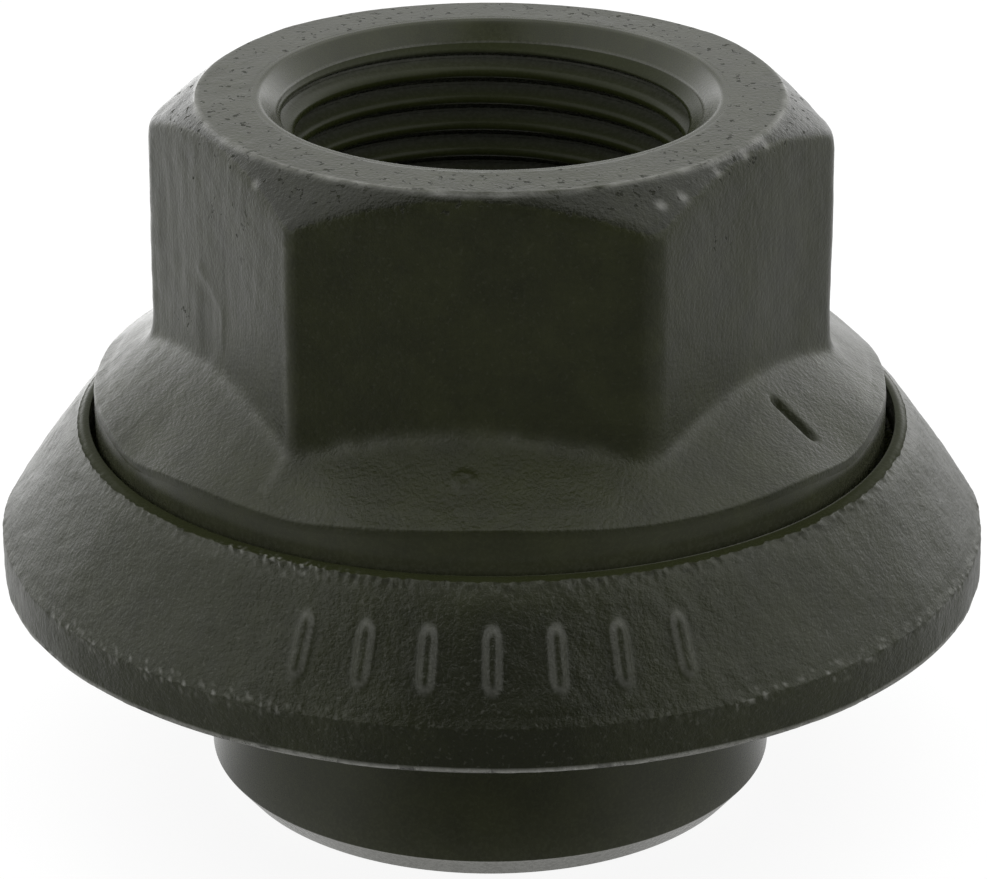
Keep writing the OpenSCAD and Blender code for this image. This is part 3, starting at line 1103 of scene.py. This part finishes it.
def edge_sparkle():
    """Bare grit with painted glints on the edges: random heights over a limit, at one place of the land and
    along the rim.
    """
    on_land = land_edge * hump(ring_angle, SPARKLE_DEG, SPARKLE_SPREAD_DEG)
    on_rim = RIM_SPARKLE * side_share(ring_angle, *RIM_SPARKLE_DEG)
    on_rim = on_rim * (1 - RIM_DULL * side_share(ring_angle, *RIM_DULL_DEG))
    grit = np.clip(unevenness(ring_true, GRIT_LENGTH, GRIT_SEED) - GRIT_FROM, 0, 1)
    return SPARKLE * grit * np.maximum(on_land, rim_edge * on_rim)


ring_sparkle = edge_sparkle()
print(f"sparkle: {(ring_sparkle > 0).sum()} points, up to {ring_sparkle.max():.2f} of bare steel")

# %% [markdown]
# Wear, painted light and painted shade on the ring.
# The walls of the bars are rubbed bare. The rim's foot gets a painted reflection of the floor, the band below
# the land and the lip inside it painted light, the land's inner edge a painted glint and its far sides a
# painted sheen, and the front of the cone painted shade. As on the nut, each share follows from a zone and an
# angle, because a mask painted by hand couldn't be repeated.

# %% Wear, painted light and painted shade on the ring
# Painted glint: the land's inner edge is made pale at one side of the front.
LAND_INNER_GLINT, LAND_INNER_GLINT_DEG, LAND_EDGE_SPREAD_DEG = 0.9, 38, 28
LAND_INNER_REACH, LAND_INNER_H = 0.05, 0.1
# Painted reflection of the floor on the rim's foot. The bars' walls are rubbed bare.
RIM_FOOT_REFLECTION, BAR_WEAR = 0.6, 0.14
# Painted light: a band of the cone just below the land is made paler.
TOP_BAND_LIGHT, TOP_BAND_REACH = 0.03, 0.5
# Painted light: the lip inside the land is made paler against the shade of the gap.
LIP_LIGHT, LIP_FROM_H, LIP_TO_H = 0.5, 1.2, 0.08
# Painted sheen: the land is made paler at its far sides.
LAND_SIDE_SHEEN, LAND_SIDE_DEG, LAND_SIDE_POWER, LAND_SKIN_H = 0.3, (80, 100), 1.5, 0.05
# Painted shade: the front of the cone is darkened, more towards the rim.
CONE_SHADE, CONE_SHADE_DEG, CONE_SHADE_SPREAD_DEG, CONE_SHADE_FROM_R, CONE_SHADE_FULL_R = 0.55, 1, 14, 22.7, 23.6
RING_PITS = 0.12


def ring_wear_and_light():
    """Share of the pale steel colour: the sum of the sparkle's painted glints, the painted glint on the land's
    inner edge, the painted reflection on the rim's foot, the bare walls of the bars, and the painted light of
    the band below the land, of the lip and of the land's far sides. A bar's wall is where 4 s (1 - s) is near
    1."""
    inner = near(ring_radius - lip_r, LAND_INNER_REACH) * (ring_height > land_z - LAND_INNER_H)
    land = LAND_INNER_GLINT * inner * hump(ring_angle, LAND_INNER_GLINT_DEG, LAND_EDGE_SPREAD_DEG)
    is_foot = (ring_height < ring_z + RIM_BREAK + HAIR) & (ring_radius > rim_r - RIM_BREAK - HAIR)
    walls = BAR_WEAR * 4 * bar_share * (1 - bar_share)
    band = TOP_BAND_LIGHT * near(ring_radius - land_r, TOP_BAND_REACH) * ring_forged
    is_lip = (ring_height > land_z - LIP_FROM_H) & (ring_height < land_z - LIP_TO_H)
    is_lip = is_lip & (ring_radius < lip_r + HAIR)
    outward = np.clip((ring_radius - lip_r) / LAND_W, 0, 1) ** LAND_SIDE_POWER
    outward = outward * (1 - ring_forged) * (ring_height > land_z - LAND_SKIN_H)
    paled = LAND_SIDE_SHEEN * outward * side_share(ring_angle, *LAND_SIDE_DEG)
    return ring_sparkle + land + RIM_FOOT_REFLECTION * is_foot + walls + band + LIP_LIGHT * is_lip + paled


down_cone = np.clip((ring_radius - CONE_SHADE_FROM_R) / (CONE_SHADE_FULL_R - CONE_SHADE_FROM_R), 0, 1)
ring_layers = {
    "forged": ring_forged * (1 - SIDE_CALM * side_share(ring_angle, *SIDE_CALM_DEG)),
    "worn": ring_wear_and_light(),
    "pitted": RING_PITS * ring_forged,
    "stained": CONE_SHADE * down_cone * hump(ring_angle, CONE_SHADE_DEG, CONE_SHADE_SPREAD_DEG) * ring_forged,
}
print(f"ring wear: {ring_layers['worn'].mean():.3f} of bare steel on the mean of all points")

# %% [markdown]
# The ring as a piece.
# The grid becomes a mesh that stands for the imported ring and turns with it. The turned land could be a piece
# of its own, but it is one with the cone, so its faces only take a duller skin, as does the lip inside it.

# %% Ring piece
LAND_ROWS_H = 0.7
ring = closed_grid("forged_ring", ring_points, ring_layers)
land_rows = (ring_outline[:, 0] < land_r + HAIR / 2) & (ring_outline[:, 1] > land_z - LAND_ROWS_H)
second_skin(ring, land_rows, RING_COLUMNS)
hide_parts("pressure_ring")
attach(ring, "ring")

# %% [markdown]
# Helpers for the finish.
# A procedural skin mixes colours by noise and by the layers that the pieces carry. Painted textures could do
# it too, but they need an unwrapped mesh, while noise on Object coordinates has its scale in the real metre.

# %% Colour and noise helpers
# Sockets of a Mix node for colours, which has one set of inputs for each kind of value.
MIX_INPUTS, MIX_RESULT = (0, 6, 7), 2
NOISE_ROUGHNESS = 0.62


def blend(tree, factor, first, second):
    """A colour between two colours, each a socket or a value."""
    made = tree.nodes.new("ShaderNodeMix")
    made.data_type = "RGBA"
    for at, value in zip(MIX_INPUTS, (factor, first, second)):
        feed(tree, value, made.inputs[at])
    return made.outputs[MIX_RESULT]


def noise(tree, place, scale, detail):
    """A noise value at a place, about 0.5 with detail of that depth."""
    made = node(tree, "TexNoise", Scale=scale, Detail=detail, Roughness=NOISE_ROUGHNESS)
    join(tree, (place, made.inputs["Vector"]))
    return made.outputs[0]


def layer_value(tree, name):
    """The value of a point layer of the mesh, which is 0 where the mesh has no such layer."""
    made = node(tree, "Attribute")
    made.attribute_name = name
    return made.outputs["Fac"]


print("finish helpers: blend, noise, layer_value")

# %% [markdown]
# The phosphate skin.
# Phosphate turns steel into a dark grey-green crystal skin that drinks light head on and mirrors only at a
# glance, so a plain dielectric shader with a low gloss suits it better than a metal one. Forged faces get
# grain, mottling, pits and painted shade, the hexagon's faces also the upright streaks of the die, and turned
# faces stay smooth. Where the skin is rubbed through, bare steel shows, and the same pale colour is laid on as
# painted light, highlights, glints and reflections.

# %% Phosphate skin
# Each kind of noise: scale per metre, and detail.
MOTTLE, GRAIN, STREAK, PITS, SPECKS = (420, 4), (4200, 3), (2200, 2), (2200, 2), (5200, 1)
PIT_SPAN, SPECK_SPAN = (0.62, 0.68), (0.6, 0.75)
STREAK_STRETCH = 0.1
GRAIN_TONE, TONE_SHIFT, PIT_TONE, WEAR_AND_LIGHT_SHIFT = 0.5, 0.25, 0.6, 0.5
TURNED_ROUGH, FORGED_ROUGH, GRAIN_ROUGH, PIT_ROUGH = 0.2, 0.12, 0.14, 0.5
# Heights of the bump in mm, and how far drawn faces calm the grain.
GRAIN_HEIGHT, STREAK_HEIGHT, PIT_DEPTH, DRAWN_CALM = 0.068, 0.016, 0.05, 0.4
BARE_STEEL_AND_LIGHT = (0.33, 0.33, 0.31, 1)


def phosphate(name, dark, light, gloss, speckle):
    """Procedural skin on Object coordinates: mottled colour darkened by pits and painted shade, grain, drawn
    streaks and pits by a bump, and a pale steel colour where it is bare or speckled or where painted light is
    laid on."""
    skin = bpy.data.materials.new(name)
    skin.use_nodes = True
    tree = skin.node_tree
    shader = tree.nodes["Principled BSDF"]
    shader.inputs["Specular IOR Level"].default_value = gloss
    place = node(tree, "TexCoord").outputs["Object"]
    forged, worn, drawn = (layer_value(tree, layer) for layer in ("forged", "worn", "drawn"))
    stretched = node(tree, "Mapping", Scale=(1, 1, STREAK_STRETCH))
    join(tree, (place, stretched.inputs["Vector"]))
    mottle, grain = noise(tree, place, *MOTTLE), noise(tree, place, *GRAIN)
    streak = noise(tree, stretched.outputs[0], *STREAK)
    pit = ramp(tree, noise(tree, place, *PITS), *PIT_SPAN, 0, 1)
    pit = maths(tree, "MULTIPLY", pit, layer_value(tree, "pitted"))
    specks = ramp(tree, noise(tree, place, *SPECKS), *SPECK_SPAN, 0, speckle)
    specks = maths(tree, "MULTIPLY", specks, forged)
    tone = maths(tree, "MULTIPLY_ADD", grain, GRAIN_TONE, maths(tree, "SUBTRACT", mottle, TONE_SHIFT))
    tone = maths(tree, "SUBTRACT", tone, layer_value(tree, "stained"))
    tone = maths(tree, "SUBTRACT", tone, maths(tree, "MULTIPLY", pit, PIT_TONE))
    bared_and_lit = maths(tree, "MULTIPLY_ADD", worn, maths(tree, "ADD", grain, WEAR_AND_LIGHT_SHIFT), specks)
    colour = blend(tree, bared_and_lit, blend(tree, tone, dark, light), BARE_STEEL_AND_LIGHT)
    rough = maths(tree, "MULTIPLY_ADD", grain, GRAIN_ROUGH, TURNED_ROUGH)
    rough = maths(tree, "MULTIPLY_ADD", forged, FORGED_ROUGH, rough)
    rough = maths(tree, "MULTIPLY_ADD", pit, PIT_ROUGH, rough)
    calmed = maths(tree, "MULTIPLY", forged, maths(tree, "MULTIPLY_ADD", drawn, -DRAWN_CALM, 1))
    relief = maths(tree, "MULTIPLY", maths(tree, "MULTIPLY", grain, GRAIN_HEIGHT), calmed)
    relief = maths(tree, "MULTIPLY_ADD", maths(tree, "MULTIPLY", streak, drawn), STREAK_HEIGHT, relief)
    relief = maths(tree, "SUBTRACT", relief, maths(tree, "MULTIPLY", pit, PIT_DEPTH))
    bump = node(tree, "Bump", Strength=1.0, Distance=MM)
    join(
        tree,
        (colour, shader.inputs["Base Color"]),
        (rough, shader.inputs["Roughness"]),
        (relief, bump.inputs["Height"]),
        (bump.outputs["Normal"], shader.inputs["Normal"]),
    )
    print(f"{name}: {len(tree.nodes)} nodes, gloss {gloss}")
    return skin


# %% [markdown]
# The skins of the pieces.
# All faces were dipped in the same bath, but forged, turned and threaded faces came out in slightly different
# gloss and shades, and the thread's skin is also made paler as painted light against the shade inside the
# bore.
# One material with many switches could hold them all, but one function with four sets of values is easier to
# read. The second skin of a piece lies on the faces that were marked for it.

# %% Skins
# name: darkest and lightest colour, gloss and share of bare specks.
SKINS = {
    "nut_phosphate": ((0.0067, 0.0082, 0.0004, 1), (0.0232, 0.027, 0.0052, 1), 0.375, 0.02),
    "ring_phosphate": ((0.0078, 0.0096, 0.0008, 1), (0.0182, 0.0215, 0.0042, 1), 0.375, 0.05),
    "land_phosphate": ((0.017, 0.0195, 0.0075, 1), (0.025, 0.0285, 0.0125, 1), 0.025, 0),
    # Painted light: the thread's darkest colour is much paler than the nut's, against the shade inside the
    # bore.
    "thread_phosphate": ((0.012, 0.0145, 0.004, 1), (0.022, 0.0255, 0.009, 1), 0.1, 0),
}
skins = {name: phosphate(name, *look) for name, look in SKINS.items()}
DRESSED = (
    (nut, ("nut_phosphate", "thread_phosphate")),
    (thread, ("thread_phosphate",)),
    (ring, ("ring_phosphate", "land_phosphate")),
)
for piece, skin_names in DRESSED:
    for skin_name in skin_names:
        piece.data.materials.append(skins[skin_name])
    print(f"{piece.name}: {', '.join(skin_names)}")
